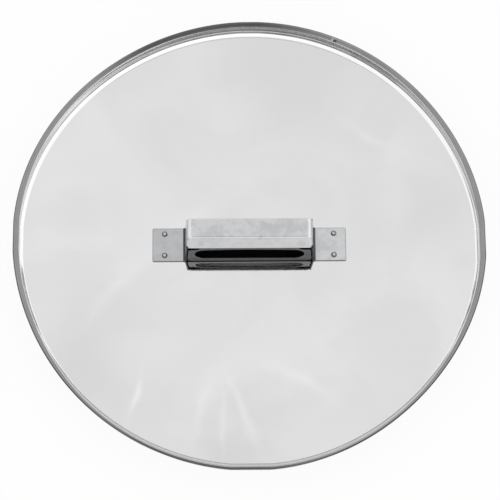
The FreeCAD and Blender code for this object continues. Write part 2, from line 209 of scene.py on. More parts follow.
# ---------------------------------------------------------------- node helpers
class Graph:
    """Short words for placing and joining nodes in one tree."""

    def __init__(self, tree):
        self.tree = tree

    def add(self, kind, settings=None, **inputs):
        node = self.tree.nodes.new(kind)
        for key, setting in (settings or {}).items():
            setattr(node, key, setting)
        for key, source in inputs.items():
            name = key.replace("_", " ") if not key.startswith("i_") else int(key[2:])
            self.feed(node.inputs[name], source)
        return node

    def feed(self, socket, source):
        if isinstance(source, bpy.types.NodeSocket):
            self.tree.links.new(source, socket)
        elif isinstance(source, bpy.types.Node):
            self.tree.links.new(source.outputs[0], socket)
        else:
            socket.default_value = source

    def math(self, operation, first, second=None, third=None, clamp=False):
        node = self.tree.nodes.new("ShaderNodeMath")
        node.operation = operation
        node.use_clamp = clamp
        for index, source in enumerate((first, second, third)):
            if source is not None:
                self.feed(node.inputs[index], source)
        return node.outputs[0]

    def times(self, *parts):
        """The product of its parts, worked out from the last one to the first."""
        product = parts[-1]
        for part in reversed(parts[:-1]):
            product = self.math("MULTIPLY", part, product)
        return product

    def mixed(self, first, second, third):
        """First times second, plus third."""
        return self.math("MULTIPLY_ADD", first, second, third)

    def more(self, first, second):
        return self.math("MAXIMUM", first, second)

    def less(self, first, second):
        return self.math("SUBTRACT", first, second)

    def over(self, first, second):
        return self.math("DIVIDE", first, second)

    def size(self, source):
        return self.math("ABSOLUTE", source)

    def measure(self, operation, first, second=(0, 0, 0)):
        """A number from one vector or two, such as a length or a dot product."""
        node = self.add("ShaderNodeVectorMath", {"operation": operation}, i_0=first,
                        i_1=second)
        return node.outputs["Value"]

    def split(self, vector):
        return tuple(self.add("ShaderNodeSeparateXYZ", Vector=vector).outputs)

    def ramp(self, source, low, high, first=0.0, last=1.0, smooth=True):
        node = self.add("ShaderNodeMapRange",
                        {"interpolation_type": "SMOOTHSTEP" if smooth else "LINEAR"},
                        Value=source, From_Min=low, From_Max=high, To_Min=first, To_Max=last)
        return node.outputs[0]

    def band(self, source, low, high, soft):
        """One between two values and nothing outside them, with soft ends."""
        return self.times(self.ramp(source, low - soft, low),
                          self.ramp(source, high + soft, high))

    def noise(self, vector, scale, detail=2.0, rough=0.5, distortion=0.0):
        node = self.add("ShaderNodeTexNoise", Vector=vector, Scale=scale, Detail=detail,
                        Roughness=rough, Distortion=distortion)
        return node.outputs[0]

    def stretch(self, vector, scale=(1, 1, 1), location=(0, 0, 0), turn=(0, 0, 0)):
        node = self.add("ShaderNodeMapping", Vector=vector, Scale=scale, Location=location,
                        Rotation=turn)
        return node.outputs[0]


def group(name, comes, goes, kind="ShaderNodeTree"):
    """A node tree with named sockets: its words, what comes in and what goes out."""
    tree = bpy.data.node_groups.new(name, kind)
    for way, sockets in (("INPUT", comes), ("OUTPUT", goes)):
        for label, sort in sockets.items():
            tree.interface.new_socket(name=label, in_out=way, socket_type="NodeSocket" + sort)
    enter = tree.nodes.new("NodeGroupInput")
    leave = tree.nodes.new("NodeGroupOutput")
    return Graph(tree), enter.outputs, leave.inputs


def build_smudges():
    """Cloudy handling marks: a soft mask, broken up by a finer one."""
    g, come, go = group("handling_smudges", dict(Place="Vector", Size="Float"),
                        dict(Mask="Float"))
    wide = g.noise(come["Place"], come["Size"], 3.0, 0.55, 0.6)
    fine = g.noise(come["Place"], g.times(come["Size"], 4.3), 4.0, 0.6, 0.2)
    g.feed(go["Mask"], g.ramp(g.mixed(fine, 0.35, g.times(wide, 0.65)), 0.34, 0.70))
    return g.tree


def build_scratches():
    """Sparse straight hair scratches in several directions: cells drawn out to needles."""
    g, come, go = group("hair_scratches", dict(Place="Vector", Size="Float"),
                        dict(Mask="Float"))
    total = None
    for turn, seed, share in ((0.35, 3.0, 1.0), (1.25, 11.0, 0.75), (2.3, 23.0, 0.9),
                              (2.95, 37.0, 0.6)):
        lain = g.stretch(g.stretch(come["Place"], turn=(0, 0, turn)), (0.035, 1.0, 0.3),
                         (seed, seed * 0.7, seed * 0.31))
        cells = g.add("ShaderNodeTexVoronoi", {"feature": "F1"}, Vector=lain,
                      Scale=g.times(come["Size"], 2.0))
        needle = g.ramp(cells.outputs["Distance"], 0.035, 0.005, 0.0, share)
        total = needle if total is None else g.more(total, needle)
    g.feed(go["Mask"], total)
    return g.tree


def build_grain():
    """Fine drawn grain of rolled sheet: noise stretched along one direction."""
    g, come, go = group("sheet_grain", dict(Place="Vector", Size="Float"),
                        dict(Height="Float", Shade="Float"))
    fine = g.noise(come["Place"], come["Size"], 2.0, 0.6)
    wide = g.noise(come["Place"], g.times(come["Size"], 0.21), 2.0, 0.5)
    g.feed(go["Height"], fine)
    g.feed(go["Shade"], g.mixed(fine, 0.5, g.times(wide, 0.5)))
    return g.tree


def build_sheen():
    """One long soft patch, lying at an angle, that fades out from its middle."""
    g, come, go = group("soft_sheen", dict(Place="Vector", At="Vector", Turn="Float",
                                           Length="Float", Width="Float"),
                        dict(Mask="Float"))
    warp = g.add("ShaderNodeTexNoise", Vector=come["Place"], Scale=14.0)
    bent = g.add("ShaderNodeVectorMath", {"operation": "MULTIPLY_ADD"},
                 i_0=warp.outputs["Color"], i_1=(0.03, 0.03, 0.0), i_2=come["Place"])
    offset = g.add("ShaderNodeVectorMath", {"operation": "SUBTRACT"}, i_0=bent,
                   i_1=come["At"])
    turned = g.add("ShaderNodeVectorRotate", {"rotation_type": "Z_AXIS"}, Vector=offset,
                   Angle=g.times(come["Turn"], -1.0))
    x, y, _ = g.split(turned)
    along = g.over(x, come["Length"])
    across = g.over(y, come["Width"])
    away = g.math("ADD", g.times(along, along), g.times(across, across))
    g.feed(go["Mask"], g.math("EXPONENT", g.times(away, -2.0)))
    return g.tree


def build_true_radius():
    """Undoes the rim's out-of-roundness, so marks that run round it keep to its edges."""
    g, come, go = group("true_radius", dict(Place="Vector"),
                        dict(Radius="Float", Angle="Float"))
    x, y, _ = g.split(come["Place"])
    radius = g.math("SQRT", g.math("ADD", g.times(x, x), g.times(y, y)))
    angle = g.math("ARCTAN2", y, x)
    shift = OUT_OF_ROUND[0]
    for k, (a, b) in enumerate(OUT_OF_ROUND[1:], 1):
        turned = g.times(angle, float(k))
        shift = g.mixed(g.math("COSINE", turned), a, shift)
        shift = g.mixed(g.math("SINE", turned), b, shift)
    square = g.more(g.size(g.math("COSINE", angle)), g.size(g.math("SINE", angle)))
    most = g.less(g.over(RIM_RADIUS + BEAD_INSET, square), RIM_RADIUS + BOX_MARGIN)
    shift = g.math("MINIMUM", shift, most)
    share = g.ramp(radius, TRUE_INSIDE, FULLY_OUT, smooth=False)
    scale = g.mixed(g.times(shift, 1 / RIM_RADIUS), g.times(share, share), 1.0)
    g.feed(go["Radius"], g.over(radius, scale))
    g.feed(go["Angle"], angle)
    return g.tree


SMUDGES, SCRATCHES, GRAIN = build_smudges(), build_scratches(), build_grain()
SHEEN, TRUE_RADIUS = build_sheen(), build_true_radius()


def new_material(name):
    material = bpy.data.materials.new(name)
    material.use_nodes = True
    tree = material.node_tree
    tree.nodes.clear()
    out = tree.nodes.new("ShaderNodeOutputMaterial")
    shader = tree.nodes.new("ShaderNodeBsdfPrincipled")
    tree.links.new(shader.outputs[0], out.inputs[0])
    g = Graph(tree)
    place = tree.nodes.new("ShaderNodeTexCoord").outputs["Object"]
    return material, g, shader, place


def placed(g, tree, **inputs):
    return g.add("ShaderNodeGroup", {"node_tree": tree}, **inputs)


def grey(level):
    return (level, level, level)


def tone(g, amount, dark, light):
    """A colour between two, by a mask."""
    node = g.tree.nodes.new("ShaderNodeMix")
    node.data_type = "RGBA"
    g.feed(node.inputs["Factor"], amount)
    g.feed(node.inputs[6], (*dark, 1.0) if isinstance(dark, tuple) else dark)
    g.feed(node.inputs[7], (*light, 1.0) if isinstance(light, tuple) else light)
    return node.outputs[2]


def laid(g, colour, shade, *masks):
    """A colour with a shade laid over it, as strong as the product of the masks."""
    shade = grey(shade) if isinstance(shade, float) else shade
    return tone(g, g.times(*masks), colour, shade)


def patch(g, place, at, length, width, turn=0.0):
    return placed(g, SHEEN, Place=place, At=at, Turn=math.radians(turn), Length=length,
                  Width=width)


def bump(g, height, strength, depth, normal=None):
    node = g.add("ShaderNodeBump", Strength=strength, Distance=depth, Height=height)
    if normal is not None:
        g.feed(node.inputs["Normal"], normal)
    return node.outputs[0]


def dress(g, shader, colour, rough, normal, **plain):
    """Colour, roughness and normal from nodes, and a plain value for each socket named."""
    for name, source in (("Base Color", colour), ("Roughness", rough), ("Normal", normal)):
        g.feed(shader.inputs[name], source)
    for name, number in plain.items():
        shader.inputs[name.replace("_", " ")].default_value = number


def polar(g, place):
    """Radius from the lid's axis and the angle about it, for marks that run round or out."""
    x, y, z = g.split(place)
    round_one = placed(g, TRUE_RADIUS, Place=place)
    return round_one.outputs["Radius"], round_one.outputs["Angle"], x, y, z


def joined(g, x=0.0, y=0.0, z=0.0):
    return g.add("ShaderNodeCombineXYZ", X=x, Y=y, Z=z).outputs[0]


# ---------------------------------------------------------------- finishes
# landmarks in metres: where the floor starts to rise, the bead's middle and its lower edge,
# the radius that the seam's marks are measured on and the rivets' places
RISE_AT, BEAD_AT, BEAD_UP, BEAD_LOW, SEAM_AT = 0.2404, 0.2468, 0.0208, 0.0176, 0.245
RIVET_X, RIVET_Y = 0.090, 0.012
# along the handle: just short of its upright end, at it and past it
END_NEAR, END_AT, END_PAST = 0.0650, 0.0655, 0.0668
# painted reflections on the polished floor: darker clouds of painted shade (place, size) and
# the painted sheens that lie across it (place, angle in degrees, half length, half width,
# amount)
SHADE_CLOUDS = [((0.06, 0.24, 0.0), 0.13), ((-0.165, -0.13, 0.0), 0.075),
               ((0.225, 0.05, 0.0), 0.07), ((-0.01, -0.225, 0.0), 0.07)]
SHEENS = [((-0.107, -0.154, 0), -105, 0.026, 0.0045, 0.45),
          ((-0.040, -0.165, 0), -103, 0.050, 0.0080, 0.22),
          ((-0.016, -0.178, 0), -86, 0.040, 0.0050, 0.20),
          ((0.006, -0.168, 0), -66, 0.055, 0.0060, 0.26),
          ((0.070, -0.135, 0), -31, 0.050, 0.0080, 0.24),
          ((-0.125, -0.031, 0), 47, 0.062, 0.0110, 0.18),
          ((-0.056, 0.032, 0), 38, 0.075, 0.0130, 0.10),
          ((0.148, 0.140, 0), -33, 0.040, 0.0080, 0.18),
          ((-0.200, 0.020, 0), 90, 0.120, 0.0350, 0.12)]
# painted shade of dents in the handle's skirts and top (place, size)
DENTS = [((-0.0505, -0.0138, 0.0450), 0.0045), ((-0.0505, 0.0138, 0.0450), 0.0045),
         ((0.0540, -0.0138, 0.0450), 0.0068), ((0.0540, 0.0138, 0.0450), 0.0068),
         ((0.0105, -0.0112, 0.0535), 0.0030)]


def polished_dish():
    """Bright polished floor: soft clouds and curved sheens painted in as darker and lighter
    reflections, and faint polishing lines.
    """
    material, g, shader, place = new_material("polished_dish")
    radius, angle, x, y, z = polar(g, place)
    across = joined(g, g.math("COSINE", angle), g.math("SINE", angle), g.times(radius, 1.2))
    streaks = g.noise(across, 16.0, 3.0, 0.6)
    rings = g.noise(joined(g, g.times(radius, 420.0), g.times(angle, 0.35)), 1.0, 2.0, 0.6)
    clouds = g.noise(place, 7.5, 2.0, 0.45, 1.2)
    smudge = placed(g, SMUDGES, Place=place, Size=9.0)
    scratch = placed(g, SCRATCHES, Place=place, Size=26.0)
    shade = g.mixed(streaks, 0.10, g.times(clouds, 0.90))
    bright = tone(g, g.ramp(shade, 0.30, 0.70), (0.735, 0.735, 0.742), (0.790, 0.790, 0.796))
    for at, size in SHADE_CLOUDS:
        bright = laid(g, bright, (0.42, 0.42, 0.43), patch(g, place, at, size, size), 0.16)
    for at, turn, length, width, amount in SHEENS:
        bright = laid(g, bright, 0.97, patch(g, place, at, length, width, turn), amount)
    # painted highlight where the floor starts to rise, painted shade along the corner and the
    # sheet's lip
    rightward, backward = g.over(x, radius), g.over(y, radius)
    far = g.ramp(backward, 0.1, 0.6)
    painted_highlight = g.times(g.band(radius, RISE_AT, 0.2416, 0.0006), far)
    bright = laid(g, bright, 0.98, painted_highlight, 0.8)
    broken = g.ramp(g.noise(joined(g, g.times(angle, 4.0), z), 1.0, 3.0, 0.6), 0.3, 0.7)
    right = g.times(g.ramp(rightward, -0.2, 0.9), g.ramp(far, 1.0, 0.0))
    # painted shade: thin dark lines in the corner on the right, and at the flange's lip and
    # fold on the far side
    line = g.times(g.band(radius, 0.2426, 0.2433, 0.0005), right)
    lip = g.band(z, 0.0104, 0.0126, 0.0006)
    fold = g.band(z, 0.0050, 0.0072, 0.0006)
    shade_lines = g.more(line, g.times(far, g.more(lip, fold)))
    shade_lines = g.times(shade_lines, g.mixed(broken, 0.30, 0.66))
    # painted light: the corner is lighter at the far left, with less painted shade there
    far_left = g.times(g.ramp(rightward, -0.25, -0.60), g.ramp(backward, 0.40, 0.62),
                       g.ramp(z, 0.0054, 0.0062))
    bright = laid(g, bright, 0.97, far_left)
    shade_lines = g.times(shade_lines, g.mixed(far_left, -0.6, 1.0))
    bright = laid(g, bright, 0.16, shade_lines)
    # painted highlight: a near-white ring where the floor's corner turns up
    corner = g.times(g.ramp(radius, RISE_AT, 0.2412), g.ramp(z, 0.0062, 0.0054))
    corner = g.times(corner, g.ramp(z, 0.0004, 0.0009))
    bright = laid(g, bright, 0.97, corner, g.less(1.0, shade_lines))
    # painted shade: the floor under the handle is nearly black, as it shows through the slot
    under = g.times(g.ramp(g.size(y), 0.0192, 0.0186), g.ramp(g.size(x), END_AT, 0.0640),
                    g.ramp(z, 0.0004, 0.0008))
    bright = laid(g, bright, 0.005, under)
    # a duller patch in front of the handle blurs its mirror image
    haze = patch(g, place, (0.0, -0.03, 0.0), 0.13, 0.045)
    rough = g.mixed(smudge, 0.025, g.mixed(streaks, 0.03, 0.025))
    rough = g.mixed(haze, 0.015, g.mixed(under, 0.5, rough))
    first = bump(g, g.noise(place, 7.0, 1.0, 0.4), 0.12, 0.0025)
    second = bump(g, g.mixed(rings, 0.6, g.times(streaks, 0.4)), 0.04, 0.0003, first)
    dress(g, shader, bright, g.mixed(scratch, 0.08, rough), second, Metallic=1.0)
    return material


def rolled_rim():
    """Rolled strip: drawn grain that runs round it, a bright wall, and a bead with painted
    shade on its outer half and painted light on its inner half.
    """
    material, g, shader, place = new_material("rolled_rim")
    radius, angle, _, y, z = polar(g, place)
    along = joined(g, g.times(angle, 1.3), g.times(radius, 500.0), g.times(z, 500.0))
    grain = placed(g, GRAIN, Place=along, Size=1.0)
    smudge = placed(g, SMUDGES, Place=place, Size=34.0)
    # the angle round the bead: nothing on top, positive towards the inside of the dish
    inward = g.math("ARCTAN2", g.less(BEAD_AT, radius), g.less(z, BEAD_UP))
    backward = g.over(y, radius)
    # painted shade: where the bead's dark outer half begins changes round the rim
    limit = g.ramp(backward, -0.95, -0.15, -0.40, 1.08)
    past = g.less(inward, limit)
    outer = g.ramp(past, 0.06, -0.06)
    bead = g.ramp(z, BEAD_LOW, 0.0182)
    shade = g.mixed(grain.outputs["Shade"], 0.6, g.times(smudge, 0.4))
    wall = tone(g, shade, (0.68, 0.68, 0.69), (0.78, 0.78, 0.79))
    # painted light: the bead's inner half is lighter towards the near side
    inside = tone(g, g.ramp(backward, 0.2, -0.9),
                  tone(g, shade, (0.43, 0.43, 0.435), (0.53, 0.53, 0.535)),
                  tone(g, shade, (0.50, 0.50, 0.505), (0.64, 0.64, 0.645)))
    across = g.math("COSINE", angle)
    sides = g.more(g.ramp(across, 0.02, 0.42), g.ramp(across, -0.40, -0.75))
    # painted shade: the bead's outer half is nearly black at the far and near middle, greyer at
    # the sides
    outside = tone(g, sides, tone(g, shade, (0.085, 0.085, 0.088), (0.14, 0.14, 0.143)),
                   tone(g, shade, (0.25, 0.25, 0.253), (0.34, 0.34, 0.343)))
    # painted shade: a darker brim along the bead's outer edge at the sides
    brim = g.times(g.ramp(inward, -0.60, -0.85), sides)
    outside = laid(g, outside, 0.06, brim)
    glint = g.band(past, 0.12, 0.36, 0.10)
    shares = g.times(g.ramp(g.size(across), 0.12, 0.45), g.ramp(backward, 0.0, 0.5))
    inside = laid(g, inside, 0.95, glint, shares)
    # painted light: the rim is lighter at the far left and on both near flanks
    far_left = g.times(g.ramp(across, -0.25, -0.60), g.ramp(backward, 0.40, 0.62))
    flank = g.band(backward, -0.45, -0.20, 0.12)
    inside = laid(g, inside, 0.97, g.more(g.times(far_left, 0.75), flank))
    wall = laid(g, wall, 0.97, far_left)
    colour = tone(g, bead, wall, tone(g, outer, inside, outside))
    # the butt seam: a painted highlight on the bead's inner half, and a dark notch of painted
    # shade beside it
    run = g.times(g.less(angle, math.radians(SEAM_ANGLE)), SEAM_AT)
    notch = g.times(g.band(run, -0.0046, -0.0014, 0.0010), g.band(inward, 0.40, 0.95, 0.25))
    colour = laid(g, colour, 0.05, notch, 0.85)
    edge = g.times(g.band(run, -0.0007, 0.0003, 0.0003), g.band(inward, -0.05, 1.5, 0.2))
    colour = laid(g, colour, 0.94, edge, 0.85)
    rough = g.mixed(shade, 0.10, g.mixed(bead, 0.10, 0.12))
    first = bump(g, g.noise(joined(g, g.times(angle, 9.0), z), 1.0, 2.0), 0.10, 0.0006)
    normal = bump(g, grain.outputs["Height"], 0.10, 0.00008, first)
    dress(g, shader, colour, rough, normal, Metallic=1.0)
    return material


def from_rivet(g, ends, sides):
    """Distance from the nearest rivet's axis."""
    return g.measure("LENGTH", joined(g, g.less(ends, RIVET_X), g.less(sides, RIVET_Y)))


def dented(g, place, colour):
    """Lays a soft dark spot of painted shade over a colour at each of the dents."""
    shape = (1.0, 1.0, 0.7)
    for at, size in DENTS:
        at = [c * s for c, s in zip(at, shape)]
        away = g.measure("DISTANCE", g.stretch(place, shape), at)
        ragged = g.mixed(g.noise(place, 260.0, 3.0, 0.6), 1.6, 0.2)
        mask = g.ramp(g.times(away, ragged), size, size * 0.25)
        colour = laid(g, colour, (0.30, 0.31, 0.32), mask, 0.6)
    return colour


def handle_light_and_shade(g, place, colour):
    """Painted shade and highlights on the handle: the foot bends, the tabs' borders and the
    rings round the rivets are darker, and the left tab is a little darker too."""
    x, y, z = g.split(place)
    ends, sides = g.size(x), g.size(y)
    near = g.ramp(y, 0.0, -0.005)
    tab = g.times(g.ramp(z, 0.0040, 0.0030), g.ramp(ends, 0.0700, 0.0712))
    # painted shade: the left tab is a little darker
    left_shade = g.ramp(x, -0.066, -0.074)
    colour = laid(g, colour, (0.42, 0.42, 0.43), left_shade, 0.55)
    # painted shade: dark strips on the legs' foot bends
    bend = g.times(g.ramp(ends, 0.0710, 0.0701), g.ramp(z, 0.022, 0.0110),
                   g.ramp(ends, END_AT, END_PAST))
    colour = laid(g, colour, (0.075, 0.075, 0.07), bend, 0.94)
    # painted shade: a dark band up the handle's right end
    upper = g.times(g.ramp(x, 0.0649, 0.0656), g.ramp(z, 0.052, 0.044),
                    g.ramp(z, 0.008, 0.012))
    colour = laid(g, colour, 0.12, upper, 0.65)
    # painted shade: darker borders round the tabs
    border = g.more(g.ramp(ends, 0.1021, 0.1027), g.ramp(sides, 0.0176, 0.0183))
    colour = laid(g, colour, 0.20, g.times(border, tab), 0.75)
    # painted shade: the cut edges below the tabs' top face are darker
    cut = g.ramp(z, 0.00242, 0.0022)
    colour = laid(g, colour, 0.12, cut, 0.9)
    # painted shade makes the legs' cut edges black, and a painted highlight makes the skirts'
    # lower edges bright
    beyond = g.less(sides, g.mixed(z, -0.0697, 0.01888))
    edge = g.more(g.ramp(beyond, -0.00035, -0.0002),
                  g.times(g.times(near, g.band(z, 0.0364, 0.0385, 0.0002)),
                          g.ramp(beyond, -0.0030, -0.0028), g.ramp(ends, END_NEAR, END_AT)))
    edge = g.times(edge, g.band(z, 0.0045, 0.0385, 0.0006), g.ramp(ends, 0.0688, 0.0684))
    edge = g.times(edge, g.more(near, g.ramp(z, 0.0362, 0.0354)))
    colour = laid(g, colour, 0.006, edge)
    # painted light: the skirts are mixed about half way to white
    skirt_highlight = g.times(g.ramp(sides, 0.0108, 0.0116), g.ramp(z, 0.0378, 0.0385),
                      g.ramp(ends, END_PAST, END_AT))
    colour = laid(g, colour, 1.0, skirt_highlight, 0.48)
    # painted highlights on the top's long bends and near its ends
    bends = g.more(g.band(sides, 0.0102, 0.0109, 0.0004),
                   g.times(g.ramp(ends, 0.0598, 0.0625), g.ramp(ends, END_AT, END_NEAR)))
    bends = g.times(bends, g.ramp(z, 0.0515, 0.0535))
    colour = laid(g, colour, 0.97, bends, 0.50)
    # painted highlight along the skirts' lower edges
    skirt = g.times(g.ramp(sides, 0.0140, 0.0148), g.ramp(ends, END_PAST, 0.0660))
    painted_highlight = g.times(g.band(z, 0.0383, 0.0389, 0.0003), skirt)
    colour = laid(g, colour, (0.86, 0.86, 0.87), painted_highlight, 0.8)
    # painted shadow just under the skirts' lower edges, darkest on their outer faces
    below = g.times(g.band(z, 0.0372, 0.0379, 0.0002), skirt, g.ramp(ends, END_NEAR, 0.0640))
    outer = g.ramp(sides, 0.0153, 0.0158)
    colour = laid(g, colour, tone(g, outer, grey(0.20), grey(0.03)), below)
    # painted shade in a ring round each rivet's head
    ring = g.times(g.band(from_rivet(g, ends, sides), 0.0026, 0.0031, 0.0003), tab)
    return laid(g, colour, 0.14, ring, 0.4)


def satin_sheet(name, dark, light, rough, with_painted_light=False):
    """Handled satin sheet of the grip: mottled smudges, hair scratches, a fine drawn grain."""
    material, g, shader, place = new_material(name)
    along = g.stretch(place, (0.12, 1.0, 1.0))
    grain = placed(g, GRAIN, Place=along, Size=1500.0)
    smudge = placed(g, SMUDGES, Place=place, Size=48.0)
    cloud = g.noise(place, 160.0, 5.0, 0.65, 0.3)
    scratch = placed(g, SCRATCHES, Place=place, Size=110.0)
    shade = g.mixed(cloud, 0.45, g.times(smudge, 0.55))
    colour = tone(g, g.ramp(shade, 0.30, 0.68), light, dark)
    if with_painted_light:
        colour = handle_light_and_shade(g, place, dented(g, place, colour))
    else:
        # painted shade: a plate's cut edges and its lowest millimetre are black, and its lower
        # part darker
        _, y, z = g.split(place)
        deep = g.less(g.mixed(z, -SIDE_LEAN, 0.01851), g.size(y))
        colour = laid(g, colour, 0.03, g.ramp(z, 0.0098, 0.0086, 0.0, 0.4))
        black = g.more(g.ramp(deep, 0.00020, 0.00035), g.ramp(z, 0.0036, 0.0031))
        colour = laid(g, colour, 0.01, black)
    rough = g.mixed(scratch, 0.12, g.mixed(shade, 0.08, rough))
    first = bump(g, g.noise(place, 38.0, 2.0, 0.5), 0.22, 0.0006)
    second = bump(g, g.mixed(scratch, -0.6, cloud), 0.08, 0.00012, first)
    normal = bump(g, grain.outputs["Height"], 0.05, 0.00004, second)
    dress(g, shader, colour, rough, normal, Metallic=1.0)
    return material


def rivet_satin():
    """Rivet heads: bright and mottled with wear, with painted shade in a dark ring on each
    head.
    """
    material, g, shader, place = new_material("rivet_satin")
    x, y, _ = g.split(place)
    mottle = g.noise(place, 700.0, 3.0, 0.6)
    # painted shade: a dark ring on each head
    ring = g.band(from_rivet(g, g.size(x), g.size(y)), 0.0017, 0.0028, 0.0004)
    bright = tone(g, mottle, (0.52, 0.52, 0.53), (0.66, 0.66, 0.67))
    colour = laid(g, bright, 0.10, ring, g.mixed(mottle, 0.2, 0.75))
    dress(g, shader, colour, g.mixed(mottle, 0.15, 0.2), bump(g, mottle, 0.2, 0.0001),
          Metallic=1.0)
    return material


def dull_inside():
    """The handle's unpolished inner faces, with painted shade making them nearly black at its
    ends.
    """
    material, g, shader, place = new_material("dull_inside")
    mottle = g.noise(place, 90.0, 4.0, 0.6)
    steel = tone(g, mottle, grey(0.84), (0.92, 0.92, 0.91))
    # painted shade, nearly black: the legs' inner faces and the corners above the plates
    ends, sides = (g.size(part) for part in g.split(place)[:2])
    black = g.more(g.ramp(ends, 0.0635, 0.0645),
                   g.times(g.ramp(ends, 0.0475, 0.0495), g.ramp(sides, 0.0054, 0.0062)))
    dress(g, shader, laid(g, steel, 0.004, black), g.mixed(mottle, 0.2, 0.55),
          bump(g, mottle, 0.2, 0.0003), Specular_IOR_Level=0.15)
    return material


def weld_metal():
    material, g, shader, place = new_material("weld_metal")
    mottle = g.noise(place, 900.0, 3.0, 0.6)
    colour = tone(g, mottle, (0.42, 0.41, 0.40), (0.62, 0.61, 0.60))
    dress(g, shader, colour, g.mixed(mottle, 0.2, 0.28), bump(g, mottle, 0.3, 0.0001),
          Metallic=1.0)
    return material


POLISHED, RIM = polished_dish(), rolled_rim()
SATIN = satin_sheet("grip_satin", (0.525, 0.535, 0.55), (0.615, 0.625, 0.64), 0.17, True)
# painted shade: the side plates get a much darker copy of the grip's satin sheet
SIDES = satin_sheet("side_satin", (0.165, 0.17, 0.167), (0.225, 0.23, 0.225), 0.16)
RIVET = rivet_satin()
INSIDE, WELD = dull_inside(), weld_metal()


# ---------------------------------------------------------------- dish floor
BEAD_CENTRE = (RIM_RADIUS - CURL_RADIUS - BEAD_INSET, RIM_HEIGHT - CURL_RADIUS - 0.03)
WALL_X = RIM_RADIUS - 2 * CURL_RADIUS + BEAD_OVERHANG


def under_bead(inset):
    """Height at which the wall's face meets the bead's outer or inner surface."""
    return BEAD_CENTRE[1] - math.sqrt((CURL_RADIUS - inset) ** 2
                                      - (CURL_RADIUS - BEAD_OVERHANG - inset) ** 2)


def wall_face(height):
    return WALL_X - WALL_SLOPE * (under_bead(0) - height)


def make_dish_floor():
    lap = LAP_GAP + FLOOR_SHEET
    under = rounded([(0, 0, 0), (wall_face(0) - LAP_GAP, 0, CORNER_BEND + FLOOR_SHEET),
                     (wall_face(FLANGE_HEIGHT) - LAP_GAP, FLANGE_HEIGHT, 0)], 8)
    # the last centimetre of the floor lifts a little, then a short cone meets the wall
    face = wall_face(5) - lap
    over = rounded([(wall_face(FLANGE_HEIGHT) - lap, FLANGE_HEIGHT, 0), (face, 5.2, 2.5),
                    (face - 3.6, 1.6, 3.0), (COVE_AT, FLOOR_SHEET, COVE_RADIUS),
                    (0, FLOOR_SHEET, 0)], 10)
    flat = (30, 60, 84, 98, 130, 170, 210)
    profile = under[:1] + [(r, 0.0) for r in flat] + under[1:] + over[:-1]
    profile += [(r, FLOOR_SHEET) for r in reversed(flat)] + over[-1:]
    disc = lathe("dish_floor", profile)
    holes = []
    for x in (-RIVET_SPAN / 2, RIVET_SPAN / 2):
        for y in (-RIVET_PITCH / 2, RIVET_PITCH / 2):
            hole = lathe("hole", [(0, -1), (4.1, -1), (2.3, 0.8), (2.3, 2), (0, 2)], 40)
            hole.data.transform(Matrix.Translation((x * MM, y * MM, 0)))
            holes.append(hole)
    cut_away(disc, holes)
    coat(disc, POLISHED)
    return soften(disc, 0.15, 2, 40.0)


# ---------------------------------------------------------------- rolled hoop
def geometry_tree(name, **inputs):
    shape = dict(Geometry="Geometry")
    return group(name, {**shape, **inputs}, shape, "GeometryNodeTree")


def put_out(g, go, shape, finish):
    """Make copies real, give them their material and hand them on."""
    solid = g.add("GeometryNodeRealizeInstances", Geometry=shape)
    g.feed(go["Geometry"], g.add("GeometryNodeSetMaterial", Geometry=solid, Material=finish))


def grow(piece, tree, **inputs):
    """Run a geometry tree on a piece with its named inputs, and keep the plain mesh."""
    modifier = piece.modifiers.new(tree.name, "NODES")
    modifier.node_group = tree
    for item in tree.interface.items_tree:
        if item.item_type == "SOCKET" and item.in_out == "INPUT" and item.name in inputs:
            modifier[item.identifier] = inputs[item.name]
    settle(piece)


def strip_roller():
    """Sweeps a strip's section round the lid, from one end of the strip to the other."""
    g, come, go = geometry_tree("strip_roller", Start="Float", Sweep="Float", Steps="Int",
                                Finish="Material")
    rail = g.add("GeometryNodeCurveArc", {"mode": "RADIUS"}, Resolution=come["Steps"],
                 Radius=RAIL_RADIUS * MM, Start_Angle=come["Start"],
                 Sweep_Angle=come["Sweep"])
    section = g.add("GeometryNodeMeshToCurve", Mesh=come["Geometry"])
    sweep = g.add("GeometryNodeCurveToMesh", Curve=rail.outputs["Curve"],
                  Profile_Curve=section, Fill_Caps=True)
    put_out(g, go, sweep, come["Finish"])
    return g.tree


def section_of_strip():
    """Closed section of the rolled strip, as (radius, height) points."""
    last = -math.radians(CURL_TUCK)

    def meets(inset):
        return 2 * math.pi + math.atan2(under_bead(inset) - BEAD_CENTRE[1],
                                        WALL_X + inset - BEAD_CENTRE[0])

    outer = arc(BEAD_CENTRE, CURL_RADIUS, meets(0), last - meets(0), 40)
    inner = arc(BEAD_CENTRE, CURL_RADIUS - WALL_SHEET, last, meets(WALL_SHEET) - last, 32)
    foot = [(wall_face(HOOP_FOOT) + WALL_SHEET, HOOP_FOOT), (wall_face(HOOP_FOOT), HOOP_FOOT)]
    return outer + inner + foot


def make_rolled_hoop():
    points = section_of_strip()
    builder = bmesh.new()
    # the section's own x runs from the rail, its y is height
    loop = [builder.verts.new(((radius - RAIL_RADIUS) * MM, -height * MM, 0))
            for radius, height in points]
    for index in range(len(loop)):
        builder.edges.new((loop[index], loop[(index + 1) % len(loop)]))
    hoop = placed_object("rolled_hoop", pour(builder, bpy.data.meshes.new("rolled_hoop")))
    gap = SEAM_GAP / RIM_RADIUS
    grow(hoop, strip_roller(), Start=math.radians(SEAM_ANGLE), Sweep=2 * math.pi - gap,
         Steps=421, Finish=RIM)
    builder = bmesh.new()
    builder.from_mesh(hoop.data)
    bmesh.ops.remove_doubles(builder, verts=builder.verts, dist=1e-7)
    bmesh.ops.recalc_face_normals(builder, faces=builder.faces)
    pour(builder, hoop.data)
    return hoop


